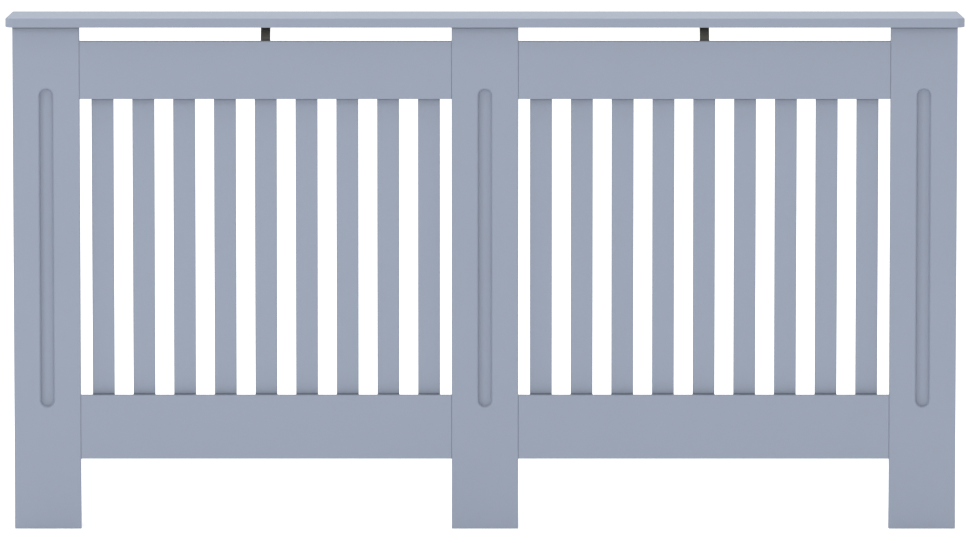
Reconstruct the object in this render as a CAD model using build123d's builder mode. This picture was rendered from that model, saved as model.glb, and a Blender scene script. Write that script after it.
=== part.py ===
from build123d import *
import os

# Radiator cover cabinet: a slatted front of painted board between three fluted posts, with two side
# panels and a shelf top. It stands on the floor over a wall radiator, open behind and below.
# Millimetres. The origin is on the floor, at the middle of the top board's width and depth.
# +X is to the right as seen from the room, +Y goes to the wall and +Z is up.

os.makedirs("parts", exist_ok=True)

# ---- Overall ----
top_width = 1520.0
top_depth = 190.0
top_overhang = 11.0  # of the top board beyond the posts, in front and at each side
body_height = 800.0  # from the floor to the underside of the top board

# ---- Boards ----
top_thickness = 15.0
side_thickness = 15.0
front_thickness = 12.0  # posts and rails
post_width = 106.0
bottom_rail_height = 102.0
top_rail_height = 92.0
floor_gap = 112.0  # under the bottom rails
air_gap = 22.0  # between the top rails and the top board, for the warm air
edge_ease = 1.5  # rounding along the painted edges
shelf_ease = 3.0  # larger rounding along the upper front and end edges of the top board

# ---- Slats ----
slat_count = 9  # in each of the two bays
slat_width = 35.0
slat_thickness = 5.0
slat_end_gap = 18.5  # from a post to the nearest slat
slat_lap = 45.0  # of each slat's foot behind the bottom rail
slat_ease = 0.8

# ---- Flute routed in each post ----
groove_width = 23.4
groove_length = 509.5
groove_top_margin = 96.5  # from the top of the post
groove_depth = 6.5
groove_draft = 20.0  # degrees by which its walls lean outwards, as the router bit cuts them
groove_ease = 1.2  # chamfer round its mouth

# ---- Recess for the room's skirting board, in both side panels ----
skirting_depth = 20.0
skirting_height = 85.0
skirting_corner = 8.0

# ---- Biscuits: flat beech lozenges glued into slots sawn in both boards of a joint ----
biscuit_length = 56.0
biscuit_width = 23.0
biscuit_thickness = 3.8
saw_radius = 50.0  # of the blade that cuts the slots
saw_overcut = 0.8  # depth left beyond the biscuit

# ---- Fixings ----
face_skin = 3.5  # board left in front of a blind hole
fit_clearance = 0.1  # all round a fixing in its hole
end_clearance = 0.5  # between a fixing's end and the bottom of its hole
dowel_diameter = 6.0
dowel_length = 30.0
dowel_inset = 38.0  # from the wall to the dowel in the top of a side panel
cam_diameter = 15.0
cam_height = 11.5
cam_setback = 24.0  # from the joint to the middle of the cam
cam_end_inset = 120.0  # from the floor and from the top board to the cams
driver_slot_length = 9.0  # of the screwdriver's slot in the cam's face
driver_slot_width = 1.8
bolt_diameter = 5.0
bolt_head_diameter = 7.0
bolt_head_length = 4.0
screw_diameter = 3.5
screw_head_diameter = 7.0
screw_head_height = 2.2

# ---- Bent steel straps that tie the front to the top board ----
plate_thickness = 2.0  # of the straps and the wall brackets
strap_width = 15.0
strap_bend_radius = 22.0  # outside
strap_leg = 25.0  # straight length on the board, beyond the bend
strap_corner = 3.0
strap_hole_inset = 10.0  # from the leg's end
strap_slat_gap = 7.0  # below a strap's foot, down to the slats

# ---- Angle brackets that fix the cover to the wall ----
bracket_leg = 30.0
bracket_width = 20.0
bracket_bend_radius = 4.0  # outside
bracket_hole_inset = 12.0  # from the leg's end
bracket_drop = 50.0  # from the top board's underside to the bracket's middle
wall_screw_hole = 5.5

# ---- Places worked out from the sizes ----
front_y = top_overhang - top_depth / 2
frame_back_y = front_y + front_thickness
frame_middle_y = front_y + front_thickness / 2
wall_y = top_depth / 2
body_width = top_width - 2 * top_overhang
bay_width = (body_width - 3 * post_width) / 2
bay_x = (bay_width + post_width) / 2
side_middle_x = (body_width - side_thickness) / 2
side_inner_x = body_width / 2 - side_thickness
post_places = {"left": -(body_width - post_width) / 2, "centre": 0.0, "right": (body_width - post_width) / 2}
bay_places = {"left": -bay_x, "right": bay_x}
sides = {"left": -1, "right": 1}
rails = {
    "bottom": (floor_gap, bottom_rail_height),
    "top": (body_height - air_gap - top_rail_height, top_rail_height),
}
top_rail_edge = body_height - air_gap
strap_foot_z = min(top_rail_edge, body_height - strap_bend_radius) - strap_leg
strap_foot_y = frame_back_y + strap_bend_radius + strap_leg
slat_low = floor_gap + bottom_rail_height - slat_lap
slat_high = strap_foot_z - strap_slat_gap
slat_pitch = (bay_width - 2 * slat_end_gap - slat_width) / (slat_count - 1)

front_plane = Plane.XZ.offset(-front_y)  # its normal points into the room, as those of all XZ planes here
frame_back_plane = Plane.XZ.offset(-frame_back_y)
under_top_plane = Plane.XY.offset(body_height)

# ---- Places of the fixings, shared by the fixings and their holes ----
rail_middles = [low + height / 2 for low, height in rails.values()]
joint_xs = [bay + end * bay_width / 2 for bay in bay_places.values() for end in sides.values()]
saw_depth = biscuit_width / 2 + saw_overcut
saw_reach = saw_radius - saw_depth  # from the joint to the saw's axis
biscuit_slot = biscuit_thickness + 2 * fit_clearance

dowel_radius = dowel_diameter / 2
dowel_y = wall_y - dowel_inset
blind_depth = front_thickness - face_skin  # of a hole from the back of the front
top_blind_depth = top_thickness - face_skin
dowel_bite = top_blind_depth - end_clearance
bolt_bite = blind_depth - end_clearance
cam_heights = (cam_end_inset, body_height - cam_end_inset)
cam_y = frame_back_y + cam_setback

pilot_radius = screw_diameter / 2 + fit_clearance
screw_length = plate_thickness + blind_depth - end_clearance
strap_places = bay_places
strap_hole_z = strap_foot_z + strap_hole_inset
strap_hole_y = strap_foot_y - strap_hole_inset
bracket_z = body_height - bracket_drop
bracket_hole_reach = bracket_leg - bracket_hole_inset


def drill(plane, spots, radius, depth):
    """Sinks blind round holes into the board being made, along the plane's normal, or against it if negative."""
    with BuildSketch(plane) as mouths:
        with Locations(*spots):
            Circle(radius)
    extrude(mouths.sketch, amount=depth, mode=Mode.SUBTRACT)


def saw_slot(joint_x, middle_z, into):
    """Saws a biscuit's slot into the board being made, from the joint at joint_x towards into, -1 or 1."""
    with BuildSketch(Plane.XZ.offset(biscuit_slot / 2 - frame_middle_y)) as blade:
        with Locations((joint_x - into * saw_reach, middle_z)):
            Circle(saw_radius)
    extrude(blade.sketch, amount=-biscuit_slot, mode=Mode.SUBTRACT)


def strap_screw_seats(strap_x):
    """Where the two screws of the strap at strap_x bear on it, as planes that face away from the boards."""
    upright = Plane((strap_x, frame_back_y + plate_thickness, strap_hole_z), z_dir=(0, 1, 0))
    level = Plane((strap_x, strap_hole_y, body_height - plate_thickness), z_dir=(0, 0, -1))
    return upright, level


def bracket_screw_seat(out):
    """Where the screw of the wall bracket on side panel out bears on it, as a plane that faces into the cabinet."""
    seat_x = out * (side_inner_x - plate_thickness)
    return Plane((seat_x, wall_y - bracket_hole_reach, bracket_z), z_dir=(-out, 0, 0))


# ---- Top board: a shelf of solid board that rests on the posts and side panels ----
with BuildPart() as top_board:
    with BuildSketch(under_top_plane):
        Rectangle(top_width, top_depth)
    extrude(amount=top_thickness)
    fillet(top_board.faces().sort_by(Axis.Z)[0].edges().sort_by(Axis.Y)[:-1], edge_ease)
    fillet(top_board.faces().sort_by(Axis.Z)[-1].edges().sort_by(Axis.Y)[:-1], shelf_ease)
    dowel_spots = [(out * side_middle_x, dowel_y) for out in sides.values()]
    drill(under_top_plane, dowel_spots, dowel_radius + fit_clearance, top_blind_depth)
    drill(under_top_plane, [(x, strap_hole_y) for x in strap_places.values()], pilot_radius, blind_depth)
top_board.part.label = "top_board"
export_step(top_board.part, "parts/top_board.step")

# ---- Posts: wide legs from the floor to the top board, each with a round-ended flute ----
for place, post_x in post_places.items():
    with BuildPart() as post:
        with BuildSketch(front_plane):
            with Locations((post_x, body_height / 2)):
                Rectangle(post_width, body_height)
        extrude(amount=-front_thickness)
        fillet(post.faces().sort_by(Axis.Y)[0].edges(), edge_ease)

        with BuildSketch(front_plane):
            with Locations((post_x, body_height - groove_top_margin - groove_length / 2)):
                SlotOverall(groove_length, groove_width, rotation=90)
        extrude(amount=-groove_depth, taper=groove_draft, mode=Mode.SUBTRACT)
        groove_mouth = post.faces().filter_by(Plane.XZ).sort_by(Axis.Y)[0].inner_wires()[0]
        chamfer(groove_mouth.edges(), groove_ease)

        for edge, outermost in ((-1, "left"), (1, "right")):
            if place != outermost:
                for z in rail_middles:
                    saw_slot(post_x + edge * post_width / 2, z, -edge)
        if place != "centre":
            bolt_spots = [(sides[place] * side_middle_x, z) for z in cam_heights]
            drill(frame_back_plane, bolt_spots, bolt_diameter / 2 + fit_clearance, blind_depth)
    post.part.label = f"post_{place}"
    export_step(post.part, f"parts/{post.part.label}.step")

# ---- Rails: crosswise boards above and below each bay of slats, flush with the posts ----
for level, (rail_low, rail_height) in rails.items():
    rail_middle = rail_low + rail_height / 2
    for side, rail_x in bay_places.items():
        with BuildPart() as rail:
            with BuildSketch(front_plane):
                with Locations((rail_x, rail_middle)):
                    Rectangle(bay_width, rail_height)
            extrude(amount=-front_thickness)
            fillet(rail.faces().sort_by(Axis.Y)[0].edges(), edge_ease)
            for end in sides.values():
                saw_slot(rail_x + end * bay_width / 2, rail_middle, -end)
            if level == "top":
                drill(frame_back_plane, [(rail_x, strap_hole_z)], pilot_radius, blind_depth)
        rail.part.label = f"{level}_rail_{side}"
        export_step(rail.part, f"parts/{rail.part.label}.step")

# ---- Slats: thin upright boards fixed behind both rails of a bay ----
for side, slats_x in bay_places.items():
    for number in range(slat_count):
        slat_x = slats_x + (number - (slat_count - 1) / 2) * slat_pitch
        with BuildPart() as slat:
            with BuildSketch(Plane.XY.offset(slat_low)):
                with Locations((slat_x, frame_back_y + slat_thickness / 2)):
                    Rectangle(slat_width, slat_thickness)
            extrude(amount=slat_high - slat_low)
            chamfer(slat.edges().filter_by(Axis.Z), slat_ease)
        slat.part.label = f"slat_{side}_{number + 1}"
        export_step(slat.part, f"parts/{slat.part.label}.step")

# ---- Side panels: they stand behind the outer posts and reach back to the wall ----
for side, out in sides.items():
    inner_plane = Plane.YZ.offset(out * side_inner_x)
    joint_x = out * side_middle_x
    with BuildPart() as side_panel:
        with BuildSketch(inner_plane) as side_outline:
            with Locations((frame_back_y, 0)):
                Rectangle(wall_y - frame_back_y, body_height, align=Align.MIN)
            with Locations((wall_y, 0)):
                Rectangle(skirting_depth, skirting_height, align=(Align.MAX, Align.MIN), mode=Mode.SUBTRACT)
            recess_corner = side_outline.vertices().sort_by_distance((wall_y - skirting_depth, skirting_height))
            fillet(recess_corner[0], skirting_corner)
        extrude(amount=out * side_thickness)
        outer_face = side_panel.faces().sort_by(Axis.X)[-1 if side == "right" else 0]
        fillet(outer_face.edges().filter_by(Axis.Z).sort_by(Axis.Y)[0], edge_ease)

        drill(inner_plane, [(cam_y, z) for z in cam_heights], cam_diameter / 2, out * (cam_height + end_clearance))
        bolt_spots = [(joint_x, z) for z in cam_heights]
        drill(frame_back_plane, bolt_spots, bolt_head_diameter / 2 + fit_clearance, -cam_setback)
        dowel_depth = dowel_length - dowel_bite + end_clearance
        drill(under_top_plane, [(joint_x, dowel_y)], dowel_radius + fit_clearance, -dowel_depth)
        drill(inner_plane, [(wall_y - bracket_hole_reach, bracket_z)], pilot_radius, out * blind_depth)
    side_panel.part.label = f"side_panel_{side}"
    export_step(side_panel.part, f"parts/{side_panel.part.label}.step")

# ---- Biscuits: one across each joint of a rail with a post, their arcs those of the saw ----
with BuildSketch(Plane.XZ.offset(biscuit_thickness / 2 - frame_middle_y)) as biscuit_outlines:
    for joint_x in joint_xs:
        for middle in rail_middles:
            with BuildSketch(mode=Mode.PRIVATE) as biscuit_outline:
                with Locations((-saw_reach, 0)):
                    Circle(saw_radius - saw_overcut)
                with Locations((saw_reach, 0)):
                    Circle(saw_radius - saw_overcut, mode=Mode.INTERSECT)
                Rectangle(biscuit_width, biscuit_length, mode=Mode.INTERSECT)
            with Locations((joint_x, middle)):
                add(biscuit_outline.sketch)
with BuildPart() as rail_biscuits:
    extrude(biscuit_outlines.sketch, amount=-biscuit_thickness)
rail_biscuits.part.label = "rail_biscuits"
export_step(rail_biscuits.part, "parts/rail_biscuits.step")

# ---- Cam bolts: screwed into the back of the outer posts, with a head that the cam draws in ----
with BuildPart() as cam_bolt:
    with BuildSketch(Plane.XY.offset(bolt_bite)):
        Circle(bolt_diameter / 2)
    extrude(amount=-bolt_bite - cam_setback)
    with BuildSketch(Plane.XY.offset(bolt_head_length / 2 - cam_setback)):
        Circle(bolt_head_diameter / 2)
    extrude(amount=-bolt_head_length)

# ---- Cam locks: discs sunk in the side panels, slotted so that the bolt's head slides in and is caught ----
slot_floor = (side_thickness - bolt_head_diameter) / 2 - fit_clearance
slot_clearance = 2 * fit_clearance
with BuildPart() as cam_lock:
    with BuildSketch(Plane.XY):
        Circle(cam_diameter / 2 - fit_clearance)
    extrude(amount=-cam_height)
    with BuildSketch(Plane.XY.offset(-slot_floor)):
        Rectangle(bolt_head_diameter + 2 * slot_clearance, bolt_head_length + 2 * slot_clearance)
        Rectangle(bolt_diameter + 2 * slot_clearance, cam_diameter, align=(Align.CENTER, Align.MAX))
    extrude(amount=-cam_height, mode=Mode.SUBTRACT)
    with BuildSketch(Plane.XY):
        Rectangle(driver_slot_length, driver_slot_width)
    extrude(amount=-slot_floor / 2, mode=Mode.SUBTRACT)

# ---- The fittings of each side panel: cam bolts and locks, and the dowel that places the top board ----
for side, out in sides.items():
    with BuildPart() as cam_bolts:
        for height in cam_heights:
            with Locations(Plane((out * side_middle_x, frame_back_y, height), z_dir=(0, -1, 0))):
                add(cam_bolt.part)
    cam_bolts.part.label = f"cam_bolts_{side}"
    export_step(cam_bolts.part, f"parts/{cam_bolts.part.label}.step")

    with BuildPart() as cam_locks:
        for height in cam_heights:
            seat = Plane((out * side_inner_x, cam_y, height), x_dir=(0, 0, out), z_dir=(-out, 0, 0))
            with Locations(seat):
                add(cam_lock.part)
    cam_locks.part.label = f"cam_locks_{side}"
    export_step(cam_locks.part, f"parts/{cam_locks.part.label}.step")

    with BuildPart() as top_dowel:
        with BuildSketch(under_top_plane.offset(dowel_bite)):
            with Locations((out * side_middle_x, dowel_y)):
                Circle(dowel_radius)
        extrude(amount=-dowel_length)
    top_dowel.part.label = f"top_dowel_{side}"
    export_step(top_dowel.part, f"parts/{top_dowel.part.label}.step")

# ---- Straps: bent flat steel, from the back of the top rails to the underside of the top board ----
for side, strap_x in strap_places.items():
    with BuildPart() as strap:
        with BuildSketch(Plane.YZ.offset(strap_x - strap_width / 2)):
            with BuildLine():
                FilletPolyline(
                    (frame_back_y, strap_foot_z),
                    (frame_back_y, body_height),
                    (strap_foot_y, body_height),
                    radius=strap_bend_radius,
                )
                offset(amount=plate_thickness, side=Side.RIGHT)
            make_face()
        extrude(amount=strap_width)
        lower_corners = strap.edges().filter_by(Axis.Y).group_by(Axis.Z)[0]
        rear_corners = strap.edges().filter_by(Axis.Z).group_by(Axis.Y)[-1]
        chamfer(lower_corners + rear_corners, strap_corner)
        with Locations(*strap_screw_seats(strap_x)):
            Hole(pilot_radius, plate_thickness)
    strap.part.label = f"top_strap_{side}"
    export_step(strap.part, f"parts/{strap.part.label}.step")

# ---- Wall brackets: bent steel angles inside the rear edges of the side panels ----
for side, out in sides.items():
    wall_hole_x = out * (side_inner_x - bracket_hole_reach)
    wall_hole = Plane((wall_hole_x, wall_y - plate_thickness, bracket_z), z_dir=(0, -1, 0))
    with BuildPart() as wall_bracket:
        with BuildSketch(Plane.XY.offset(bracket_z - bracket_width / 2)):
            with BuildLine():
                FilletPolyline(
                    (out * side_inner_x, wall_y - bracket_leg),
                    (out * side_inner_x, wall_y),
                    (out * (side_inner_x - bracket_leg), wall_y),
                    radius=bracket_bend_radius,
                )
                offset(amount=plate_thickness, side=Side.LEFT if side == "right" else Side.RIGHT)
            make_face()
        extrude(amount=bracket_width)
        with Locations(bracket_screw_seat(out)):
            Hole(pilot_radius, plate_thickness)
        with Locations(wall_hole):
            Hole(wall_screw_hole / 2, plate_thickness)
    wall_bracket.part.label = f"wall_bracket_{side}"
    export_step(wall_bracket.part, f"parts/{wall_bracket.part.label}.step")

# ---- Screws: short pan-head wood screws, made head up at the origin, then set in their seats ----
with BuildPart() as screw:
    with BuildSketch(Plane.XY):
        Circle(screw_head_diameter / 2)
    extrude(amount=screw_head_height)
    with BuildSketch(Plane.XY):
        Circle(screw_diameter / 2)
    extrude(amount=-screw_length)

with BuildPart() as strap_screws:
    for strap_x in strap_places.values():
        with Locations(*strap_screw_seats(strap_x)):
            add(screw.part)
strap_screws.part.label = "strap_screws"
export_step(strap_screws.part, "parts/strap_screws.step")

with BuildPart() as bracket_screws:
    with Locations(*[bracket_screw_seat(out) for out in sides.values()]):
        add(screw.part)
bracket_screws.part.label = "bracket_screws"
export_step(bracket_screws.part, "parts/bracket_screws.step")
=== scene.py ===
from math import atan2, cos, pi, radians, sin

import bmesh
import bpy
from mathutils import Matrix, Vector


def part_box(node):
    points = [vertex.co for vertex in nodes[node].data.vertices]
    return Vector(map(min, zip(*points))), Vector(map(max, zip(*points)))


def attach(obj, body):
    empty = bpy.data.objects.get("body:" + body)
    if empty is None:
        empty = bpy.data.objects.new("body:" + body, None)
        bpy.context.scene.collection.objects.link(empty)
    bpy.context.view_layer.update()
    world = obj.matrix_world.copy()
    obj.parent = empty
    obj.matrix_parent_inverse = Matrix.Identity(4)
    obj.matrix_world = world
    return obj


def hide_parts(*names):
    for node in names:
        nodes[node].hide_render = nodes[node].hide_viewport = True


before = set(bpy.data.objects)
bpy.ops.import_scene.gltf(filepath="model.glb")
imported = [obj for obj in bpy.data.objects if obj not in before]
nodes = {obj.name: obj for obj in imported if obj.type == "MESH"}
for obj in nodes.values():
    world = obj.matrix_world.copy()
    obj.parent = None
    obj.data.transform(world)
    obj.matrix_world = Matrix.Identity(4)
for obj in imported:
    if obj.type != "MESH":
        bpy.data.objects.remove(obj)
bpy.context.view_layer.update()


# ---- Posts and rails ----
# The front is a frame of 12 mm fibreboard: three posts, each with a routed flute, and four rails that are
# biscuited and glued between them. Its arrises are eased before the whole is sprayed with satin lacquer,
# so a fine groove stays where a rail meets a post.
MM = 0.001


def linear(srgb):
    """The linear colour of an sRGB hex value such as "8d96a7"."""
    parts = [int(srgb[i : i + 2], 16) / 255 for i in (0, 2, 4)]
    return [p / 12.92 if p <= 0.04045 else ((p + 0.055) / 1.055) ** 2.4 for p in parts] + [1.0]


def add_node(tree, kind, inputs, **settings):
    """Adds a node; inputs gives sockets, by name or number, a value or the output that feeds them."""
    made = tree.nodes.new(kind)
    for name, value in settings.items():
        setattr(made, name, value)
    for socket, value in inputs.items():
        if isinstance(value, bpy.types.NodeSocket):
            tree.links.new(value, made.inputs[socket])
        else:
            made.inputs[socket].default_value = value
    return made


COLOUR_A, COLOUR_B = 6, 7  # the two colour sockets of a Mix node
MIXED = 2  # and its colour output


def new_material(name):
    """An empty node material and its tree."""
    material = bpy.data.materials.new(name)
    material.use_nodes = True
    material.node_tree.nodes.clear()
    return material, material.node_tree


def dress(names, material):
    """Gives CAD nodes a finish in place of the plain one they come with."""
    for name in names:
        nodes[name].material_slots[0].material = material


def sand_arrises(piece):
    """Breaks the sharp arrises that a piece still has, and keeps its flat faces flat."""
    arris_width = 0.4 * MM
    weld = piece.modifiers.new("one skin", "WELD")
    weld.merge_threshold = 0.01 * MM
    bevel = piece.modifiers.new("sanded arrises", "BEVEL")
    bevel.width = arris_width
    bevel.segments = 3
    bevel.limit_method = "ANGLE"
    bevel.angle_limit = radians(30)
    normals = piece.modifiers.new("flat faces", "WEIGHTED_NORMAL")
    normals.weight = 100


def sprayed_lacquer(name, corners=()):
    """Satin water-borne lacquer: an even blue-grey film, a soft broad sheen, a faint peel over sanded fibre.

    Each corner is a line along X through (y, z), and the colour darkens towards it as painted shade.
    """
    cloud_width = 160.0 * MM  # where the film is a little thicker or thinner
    peel_width = 3.0 * MM  # real peel is nearer 1.5 mm, drawn coarser so that it shows
    fibre_width = 0.6 * MM
    painted_shade_reach = 3.0 * MM  # of the painted shade from its corner
    material, tree = new_material(name)
    place = add_node(tree, "ShaderNodeTexCoord", {}).outputs["Object"]
    clouds = add_node(
        tree,
        "ShaderNodeTexNoise",
        {"Vector": place, "Scale": 1 / cloud_width, "Detail": 3.0, "Roughness": 0.6},
    ).outputs["Fac"]
    peel = add_node(
        tree,
        "ShaderNodeTexNoise",
        {"Vector": place, "Scale": 1 / peel_width, "Detail": 1.0, "Roughness": 0.4},
    ).outputs["Fac"]
    fibre = add_node(
        tree, "ShaderNodeTexNoise", {"Vector": place, "Scale": 1 / fibre_width, "Detail": 2.0}
    ).outputs["Fac"]
    film = add_node(
        tree,
        "ShaderNodeMix",
        {"Factor": clouds, COLOUR_A: linear("7e8695"), COLOUR_B: linear("828a99")},
        data_type="RGBA",
    ).outputs[MIXED]
    per_reach = 1 / painted_shade_reach
    for corner_y, corner_z in corners:
        from_corner = add_node(
            tree,
            "ShaderNodeVectorMath",
            {0: place, 1: (0, per_reach, per_reach), 2: (0, -corner_y * per_reach, -corner_z * per_reach)},
            operation="MULTIPLY_ADD",
        ).outputs["Vector"]
        painted_shade_falloff = add_node(
            tree, "ShaderNodeVectorMath", {0: from_corner}, operation="LENGTH"
        ).outputs["Value"]
        # painted shade: the colour darkens to 454a54 towards each corner line, like a contact shadow
        film = add_node(
            tree,
            "ShaderNodeMix",
            {"Factor": painted_shade_falloff, COLOUR_A: linear("454a54"), COLOUR_B: film},
            data_type="RGBA",
        ).outputs[MIXED]
    sheen = add_node(
        tree,
        "ShaderNodeMapRange",
        {"Value": clouds, "From Min": 0.3, "From Max": 0.7, "To Min": 0.56, "To Max": 0.64},
    ).outputs["Result"]
    grain = add_node(
        tree, "ShaderNodeBump", {"Strength": 0.25, "Distance": 0.02 * MM, "Height": fibre}
    ).outputs["Normal"]
    skin = add_node(
        tree, "ShaderNodeBump", {"Strength": 0.3, "Distance": 0.06 * MM, "Height": peel, "Normal": grain}
    ).outputs["Normal"]
    lacquered = add_node(
        tree,
        "ShaderNodeBsdfPrincipled",
        {"Base Color": film, "Roughness": sheen, "IOR": 1.45, "Normal": skin},
    )
    add_node(tree, "ShaderNodeOutputMaterial", {"Surface": lacquered.outputs["BSDF"]})
    return material


lacquer = sprayed_lacquer("satin lacquer on fibreboard")
posts = ["post_left", "post_centre", "post_right"]
rails = ["bottom_rail_left", "bottom_rail_right", "top_rail_left", "top_rail_right"]
post_low, post_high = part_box("post_centre")
# The posts' lacquer has painted shade along the line just under the shelf.
dress(posts, sprayed_lacquer("satin lacquer on posts with painted shade", [(post_low[1], post_high[2])]))
dress(rails, lacquer)
for name in posts + rails:
    sand_arrises(nodes[name])


# ---- Slats ----
# Nine 5 mm fibreboard strips stand behind the rails of each bay, lacquered like the frame. Two galvanised
# brads hold each end of a slat to the rail in front, and their heads show from inside.
slat_names = sorted(name for name in nodes if name.startswith("slat_"))
lower_rail, upper_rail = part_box("bottom_rail_left"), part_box("top_rail_left")
rail_back = lower_rail[1][1]
# The slats' lacquer has painted shade along the lines where they meet the rails.
slat_shaded_corners = [(rail_back, lower_rail[1][2]), (rail_back, upper_rail[0][2])]
dress(slat_names, sprayed_lacquer("satin lacquer on slats with painted shade", slat_shaded_corners))
for name in slat_names:
    sand_arrises(nodes[name])


def zinc_plate():
    """Zinc-plated steel: bright and cool, faintly blotched, with fine drawn lines."""
    blotch_width = 4.0 * MM
    line_width = 0.3 * MM
    line_length = 6.0 * MM
    material, tree = new_material("zinc-plated steel")
    place = add_node(tree, "ShaderNodeTexCoord", {}).outputs["Object"]
    blotch = add_node(
        tree, "ShaderNodeTexNoise", {"Vector": place, "Scale": 1 / blotch_width, "Detail": 3.0}
    ).outputs["Fac"]
    along = add_node(
        tree,
        "ShaderNodeMapping",
        {"Vector": place, "Scale": (1 / line_length, 1 / line_length, 1 / line_width)},
    ).outputs["Vector"]
    drawn = add_node(
        tree, "ShaderNodeTexNoise", {"Vector": along, "Scale": 1.0, "Detail": 2.0}
    ).outputs["Fac"]
    plate = add_node(
        tree,
        "ShaderNodeMix",
        {"Factor": blotch, COLOUR_A: linear("b4b9bf"), COLOUR_B: linear("d5d8db")},
        data_type="RGBA",
    ).outputs[MIXED]
    rough = add_node(
        tree, "ShaderNodeMapRange", {"Value": drawn, "To Min": 0.25, "To Max": 0.42}
    ).outputs["Result"]
    relief = add_node(
        tree, "ShaderNodeBump", {"Strength": 0.3, "Distance": 0.02 * MM, "Height": drawn}
    ).outputs["Normal"]
    steel = add_node(
        tree,
        "ShaderNodeBsdfPrincipled",
        {"Base Color": plate, "Metallic": 1.0, "Roughness": rough, "Normal": relief},
    )
    add_node(tree, "ShaderNodeOutputMaterial", {"Surface": steel.outputs["BSDF"]})
    return material


plated_steel = zinc_plate()


def skin_over(mesh, rings, matrix):
    """Adds a closed skin over rings of as many points each; a ring of one point closes an end."""
    made = [[mesh.verts.new(matrix @ Vector(point)) for point in ring] for ring in rings]
    for ring, following in zip(made, made[1:]):
        around = max(len(ring), len(following))
        for i in range(around):
            corners = [ring[i % len(ring)], ring[(i + 1) % len(ring)]]
            corners += [following[(i + 1) % len(following)], following[i % len(following)]]
            mesh.faces.new(list(dict.fromkeys(corners)))


def circle(radius, height, angles):
    """Points on a level circle."""
    return [(radius * cos(a), radius * sin(a), height) for a in angles]


def set_in(seat, facing):
    """The matrix that puts a fastener made head up at the origin into its seat."""
    return Matrix.Translation(seat) @ Vector(facing).to_track_quat("Z", "Y").to_matrix().to_4x4()


def add_piece(name, skin, material):
    """Makes a skin a piece of the cabinet, smooth but for its sharp edges."""
    bmesh.ops.recalc_face_normals(skin, faces=skin.faces)
    mesh = bpy.data.meshes.new(name)
    skin.to_mesh(mesh)
    skin.free()
    mesh.shade_smooth()
    mesh.set_sharp_from_angle(angle=radians(40))
    mesh.materials.append(material)
    piece = bpy.data.objects.new(name, mesh)
    bpy.context.scene.collection.objects.link(piece)
    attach(piece, "root")
    return piece


def add_fasteners(name, rings, seats):
    """One piece of like fasteners, each made of the same rings and set in its own seat."""
    skin = bmesh.new()
    for seat in seats:
        skin_over(skin, rings, seat)
    return add_piece(name, skin, plated_steel)


brad_radius = 0.8 * MM
brad_crown = 0.15 * MM  # stands proud of the slat
brad_offset = 9.0 * MM  # to each side of the slat's middle
brad_points = 12
brad_angles = [i * 2 * pi / brad_points for i in range(brad_points)]
brad_dome = [(0.6, 0.9), (1.0, 0.3), (1.0, -1.0)]  # shares of the radius and the crown, from the middle out
brad_rings = [[(0, 0, brad_crown)]]
brad_rings += [circle(share * brad_radius, rise * brad_crown, brad_angles) for share, rise in brad_dome]
brad_rings += [[(0, 0, -brad_crown)]]
brad_seats = []
for name in slat_names:
    slat_low, slat_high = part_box(name)
    slat_x = (slat_low[0] + slat_high[0]) / 2
    side = name.split("_")[1]
    laps = (
        (slat_low[2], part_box(f"bottom_rail_{side}")[1][2]),
        (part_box(f"top_rail_{side}")[0][2], slat_high[2]),
    )
    for lap_low, lap_high in laps:
        for across, share in ((-1, 1 / 3), (1, 2 / 3)):  # a third of the lap from each of its ends
            brad_place = (slat_x + across * brad_offset, slat_high[1], lap_low + share * (lap_high - lap_low))
            brad_seats.append(set_in(brad_place, (0, 1, 0)))
add_fasteners("slat_brads", brad_rings, brad_seats)

# ---- Side panels ----
# Two 15 mm fibreboards reach from the outer posts back to the wall. They are sawn to shape, notched low
# down for the room's skirting board, and have the same lacquer inside and out.
side_panels = ["side_panel_left", "side_panel_right"]
dress(side_panels, lacquer)
for name in side_panels:
    sand_arrises(nodes[name])

# ---- Top board ----
# The shelf is one 15 mm fibreboard, a little wider and deeper in front than the body. Its front corners are
# cut round, its front and end arrises rounded over, and the lacquer runs round to its underside.
corner_radius = 15.0 * MM  # of the two front corners, seen from above
upper_round = 2.0 * MM
lower_round = 1.5 * MM
corner_steps = 12  # to a quarter turn
round_steps = 4
board_low, board_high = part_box("top_board")


def board_outline(inset, height):
    """Points round the shelf at a height, drawn in by inset at its front and ends, with its back in place."""
    middle_x = board_high[0] - corner_radius
    middle_y = board_low[1] + corner_radius
    reach = corner_radius - inset
    corner = []
    for step in range(corner_steps + 1):
        a = step / corner_steps * pi / 2
        corner.append((middle_x + reach * sin(a), middle_y - reach * cos(a)))
    right = corner + [(board_high[0] - inset, board_high[1])]
    left = [(-x, y) for x, y in reversed(right)]
    return [(x, y, height) for x, y in right + left]


quarter_turns = [step / round_steps * pi / 2 for step in range(round_steps + 1)]
board_rings = []
for a in quarter_turns:
    board_rings.append(board_outline(lower_round * (1 - sin(a)), board_low[2] + lower_round * (1 - cos(a))))
for a in quarter_turns:
    board_rings.append(board_outline(upper_round * (1 - cos(a)), board_high[2] - upper_round * (1 - sin(a))))
board_skin = bmesh.new()
skin_over(board_skin, board_rings, Matrix())
board_skin.verts.ensure_lookup_table()
ring_size = len(board_rings[0])
board_skin.faces.new(board_skin.verts[:ring_size])  # underside
board_skin.faces.new(board_skin.verts[-ring_size:])  # upper face
shelf = add_piece("rounded_top_board", board_skin, lacquer)
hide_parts("top_board")
sand_arrises(shelf)


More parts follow.
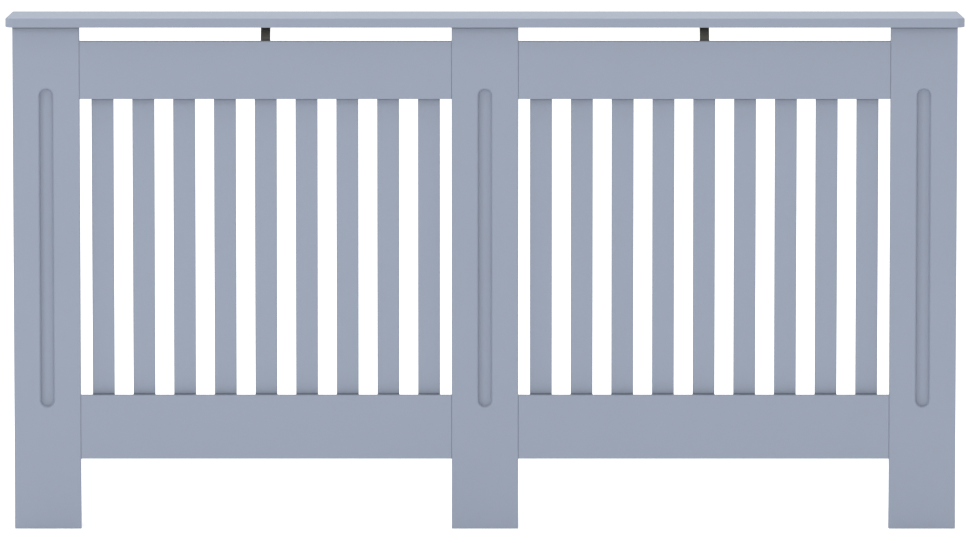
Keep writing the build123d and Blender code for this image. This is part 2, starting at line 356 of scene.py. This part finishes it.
# ---- Biscuits and dowels ----
# Lozenges of pressed beech join rails and posts, and a turned beech dowel in each side panel places the
# top. They are bare wood, hidden in their joints.
def bare_beech():
    """Bare beech: pale pinkish brown, fine straight grain with short dark flecks, no sheen."""
    fleck_width = 0.5 * MM
    fleck_length = 3.0 * MM
    material, tree = new_material("bare beech")
    place = add_node(tree, "ShaderNodeTexCoord", {}).outputs["Object"]
    along = add_node(
        tree,
        "ShaderNodeMapping",
        {"Vector": place, "Scale": (1 / fleck_width, 1 / fleck_width, 1 / fleck_length)},
    ).outputs["Vector"]
    fleck = add_node(
        tree, "ShaderNodeTexNoise", {"Vector": along, "Scale": 1.0, "Detail": 3.0}
    ).outputs["Fac"]
    spread = add_node(
        tree, "ShaderNodeMapRange", {"Value": fleck, "From Min": 0.35, "From Max": 0.6}
    ).outputs["Result"]
    wood = add_node(
        tree,
        "ShaderNodeMix",
        {"Factor": spread, COLOUR_A: linear("a97b55"), COLOUR_B: linear("d3ad84")},
        data_type="RGBA",
    ).outputs[MIXED]
    pores = add_node(
        tree, "ShaderNodeBump", {"Strength": 0.4, "Distance": 0.05 * MM, "Height": fleck}
    ).outputs["Normal"]
    beech = add_node(
        tree, "ShaderNodeBsdfPrincipled", {"Base Color": wood, "Roughness": 0.7, "IOR": 1.5, "Normal": pores}
    )
    add_node(tree, "ShaderNodeOutputMaterial", {"Surface": beech.outputs["BSDF"]})
    return material


dress(["rail_biscuits", "top_dowel_left", "top_dowel_right"], bare_beech())


# ---- Cam bolts and cam locks ----
# Steel bolts stand in the outer posts, and die-cast cams in the side panels turn to draw their heads in.
# Only the slotted faces of the cams show, from inside the cabinet.
def cast_zinc():
    """Die-cast zinc alloy: dull grey metal with the fine pits of its mould."""
    pit_width = 0.8 * MM
    material, tree = new_material("die-cast zinc")
    place = add_node(tree, "ShaderNodeTexCoord", {}).outputs["Object"]
    pits = add_node(
        tree, "ShaderNodeTexNoise", {"Vector": place, "Scale": 1 / pit_width, "Detail": 4.0}
    ).outputs["Fac"]
    alloy = add_node(
        tree,
        "ShaderNodeMix",
        {"Factor": pits, COLOUR_A: linear("8f9193"), COLOUR_B: linear("b3b5b6")},
        data_type="RGBA",
    ).outputs[MIXED]
    relief = add_node(
        tree, "ShaderNodeBump", {"Strength": 0.5, "Distance": 0.05 * MM, "Height": pits}
    ).outputs["Normal"]
    cast = add_node(
        tree,
        "ShaderNodeBsdfPrincipled",
        {"Base Color": alloy, "Metallic": 1.0, "Roughness": 0.5, "Normal": relief},
    )
    add_node(tree, "ShaderNodeOutputMaterial", {"Surface": cast.outputs["BSDF"]})
    return material


dress(["cam_bolts_left", "cam_bolts_right"], plated_steel)
dress(["cam_locks_left", "cam_locks_right"], cast_zinc())


# ---- Straps ----
# A bent strip of flat steel in each bay ties the top rail to the shelf, held by a short pan-head wood screw
# at each end. It is powder-coated black, and shows as a dark line in the air gap.
def black_powder_coat():
    """Black powder coat on steel: a warm charcoal, low sheen, a fine even grit."""
    grit_width = 0.7 * MM
    material, tree = new_material("black powder coat")
    place = add_node(tree, "ShaderNodeTexCoord", {}).outputs["Object"]
    grit = add_node(
        tree, "ShaderNodeTexNoise", {"Vector": place, "Scale": 1 / grit_width, "Detail": 2.0}
    ).outputs["Fac"]
    coat = add_node(
        tree,
        "ShaderNodeMix",
        {"Factor": grit, COLOUR_A: linear("38352e"), COLOUR_B: linear("504c44")},
        data_type="RGBA",
    ).outputs[MIXED]
    relief = add_node(
        tree, "ShaderNodeBump", {"Strength": 0.5, "Distance": 0.05 * MM, "Height": grit}
    ).outputs["Normal"]
    coated = add_node(
        tree,
        "ShaderNodeBsdfPrincipled",
        {"Base Color": coat, "Roughness": 0.55, "IOR": 1.5, "Normal": relief},
    )
    add_node(tree, "ShaderNodeOutputMaterial", {"Surface": coated.outputs["BSDF"]})
    return material


straps = ["top_strap_left", "top_strap_right"]
dress(straps, black_powder_coat())

plate_thickness = 2.0 * MM
head_radius = 3.5 * MM
head_height = 2.2 * MM
screw_length = 10.0 * MM  # under the head
crest_radius = 1.75 * MM
root_radius = 1.25 * MM
thread_pitch = 1.35 * MM
thread_steepness = 3.0  # makes the thread's foot two thirds of a pitch wide
thread_start = 0.4  # of a pitch under the head
tip_radius = 0.5 * root_radius
tip_height = 0.6 * thread_pitch
cross_reach = 2.1 * MM  # from the middle to the end of an arm of the recess
cross_half_width = 0.5 * MM
cross_depth = 1.5 * MM
cross_taper = 0.45
arm_angle = atan2(cross_half_width, cross_reach)
between_arms = [radians(29), radians(45), radians(61)]
quarter = [0.0, arm_angle, *between_arms, pi / 2 - arm_angle]
screw_angles = [turn * pi / 2 + a for turn in range(4) for a in quarter]


def cross(scale, height):
    """Points on the outline of the cross recess."""
    points = []
    for a in screw_angles:
        from_arm = min(a % (pi / 2), pi / 2 - a % (pi / 2))
        reach = cross_reach / cos(from_arm) if from_arm <= arm_angle else cross_half_width / sin(from_arm)
        points.append((scale * reach * cos(a), scale * reach * sin(a), height))
    return points


def thread(height, depth_share):
    """Points round a rolled thread, which climbs by its pitch in a turn and runs out by depth_share."""
    points = []
    for a in screw_angles:
        phase = (height / thread_pitch - a / (2 * pi)) % 1.0
        rise = max(0.0, 1 - thread_steepness * abs(phase - 0.5))
        radius = root_radius + depth_share * rise * (crest_radius - root_radius)
        points.append((radius * cos(a), radius * sin(a), height))
    return points


# shares of the head's radius and height, from beside the recess down to the head's underside
crown = [(0.72, 0.97), (0.86, 0.84), (0.96, 0.62), (1.0, 0.38), (1.0, 0.1), (0.97, 0.0)]
thread_steps = 6  # rings to a turn
thread_length = screw_length - 2 * thread_pitch
thread_rings = round(thread_length / thread_pitch * thread_steps)
screw_rings = [[(0, 0, head_height - cross_depth)], cross(cross_taper, head_height - cross_depth)]
screw_rings += [cross(1.0, head_height)]
screw_rings += [circle(share * head_radius, rise * head_height, screw_angles) for share, rise in crown]
screw_rings += [circle(root_radius, 0.0, screw_angles)]
for step in range(thread_rings + 1):
    run_in = min(1.0, step / thread_steps)
    screw_rings.append(thread(-thread_pitch * (thread_start + step / thread_steps), run_in))
screw_rings += [circle(tip_radius, -screw_length + tip_height, screw_angles)]
screw_rings += [[(0, 0, -screw_length)]]

strap_hole_inset = 10.0 * MM  # from the end of a leg
strap_seats = []
for name in straps:
    strap_low, strap_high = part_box(name)
    strap_x = (strap_low[0] + strap_high[0]) / 2
    on_rail = (strap_x, strap_low[1] + plate_thickness, strap_low[2] + strap_hole_inset)
    under_top = (strap_x, strap_high[1] - strap_hole_inset, strap_high[2] - plate_thickness)
    strap_seats += [set_in(on_rail, (0, 1, 0)), set_in(under_top, (0, 0, -1))]
strap_fixings = add_fasteners("strap_pan_head_screws", screw_rings, strap_seats)
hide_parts("strap_screws")

# ---- Wall brackets ----
# A bent steel angle, zinc-plated, is screwed inside each side panel near its rear edge. The screw that
# holds the cover to the wall goes through its other leg.
dress(["wall_bracket_left", "wall_bracket_right"], plated_steel)
bracket_hole_inset = 12.0 * MM  # from the end of a leg
bracket_seats = []
for name, inwards in (("wall_bracket_left", 1), ("wall_bracket_right", -1)):
    bracket_low, bracket_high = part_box(name)
    panel_face = bracket_low[0] if inwards > 0 else bracket_high[0]
    bracket_middle = (bracket_low[2] + bracket_high[2]) / 2
    seat = (panel_face + inwards * plate_thickness, bracket_low[1] + bracket_hole_inset, bracket_middle)
    bracket_seats.append(set_in(seat, (inwards, 0, 0)))
bracket_fixings = add_fasteners("bracket_pan_head_screws", screw_rings, bracket_seats)
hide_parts("bracket_screws")


# ---- Floor, light and camera ----
# A white studio: the paper floor and the surround are one pale field. A large softbox hangs overhead, and
# another stands far off, high at the left, so that shadows are soft and the flutes' left walls darker.
floor_reach = 300.0  # metres to each side
floor_corners = [(x * floor_reach, y * floor_reach, 0.0) for x, y in ((-1, -1), (1, -1), (1, 1), (-1, 1))]
floor_mesh = bpy.data.meshes.new("floor")
floor_mesh.from_pydata(floor_corners, [], [(0, 1, 2, 3)])
floor = bpy.data.objects.new("floor", floor_mesh)
bpy.context.scene.collection.objects.link(floor)


def studio_paper():
    """Matt white background paper: bright and even, with a faint tooth and no sheen."""
    tooth_width = 2.0 * MM
    material, tree = new_material("white studio paper")
    place = add_node(tree, "ShaderNodeTexCoord", {}).outputs["Object"]
    tooth = add_node(tree, "ShaderNodeTexNoise", {"Vector": place, "Scale": 1 / tooth_width}).outputs["Fac"]
    relief = add_node(
        tree, "ShaderNodeBump", {"Strength": 0.1, "Distance": 0.05 * MM, "Height": tooth}
    ).outputs["Normal"]
    paper = add_node(
        tree,
        "ShaderNodeBsdfPrincipled",
        {
            "Base Color": linear("fcfcfc"),
            "Roughness": 0.9,
            "Specular IOR Level": 0.0,
            "Emission Color": linear("ffffff"),
            "Emission Strength": 0.3,
            "Normal": relief,
        },
    )
    add_node(tree, "ShaderNodeOutputMaterial", {"Surface": paper.outputs["BSDF"]})
    return material


floor_mesh.materials.append(studio_paper())

world = bpy.data.worlds.new("studio")
world.use_nodes = True
surround = world.node_tree.nodes["Background"]
surround.inputs["Color"].default_value = (1.0, 1.0, 1.0, 1.0)
surround.inputs["Strength"].default_value = 1.02  # just over white
bpy.context.scene.world = world
bpy.context.scene.view_settings.view_transform = "Standard"


def soft_light(name, place, target, width, height, watts):
    """A rectangular softbox at place, turned to target."""
    lamp = bpy.data.lights.new(name, "AREA")
    lamp.shape = "RECTANGLE"
    lamp.size = width
    lamp.size_y = height
    lamp.energy = watts
    holder = bpy.data.objects.new(name, lamp)
    holder.matrix_world = set_in(place, Vector(place) - Vector(target))
    bpy.context.scene.collection.objects.link(holder)


soft_light("left softbox", (-7.0, -5.0, 5.0), (0.0, 0.0, 0.4), width=2.0, height=2.0, watts=150.0)
soft_light("overhead softbox", (0.0, 0.0, 4.5), (0.0, 0.0, 0.8), width=4.0, height=3.0, watts=100.0)

frame_width_px = 970  # of the photograph
camera_distance = 12.0  # metres in front of the cabinet's middle
camera_height = 1.52
camera_pitch = 5.314  # degrees down from level
camera_focal_px = 7534.0  # focal length, in the photograph's pixels
camera = bpy.data.objects.new("camera", bpy.data.cameras.new("camera"))
camera.location = (0.0, -camera_distance, camera_height)
camera.rotation_euler = (radians(90 - camera_pitch), 0.0, 0.0)
camera.data.lens = camera_focal_px * camera.data.sensor_width / frame_width_px
camera.data.clip_end = 1000.0
bpy.context.scene.collection.objects.link(camera)
bpy.context.scene.camera = camera
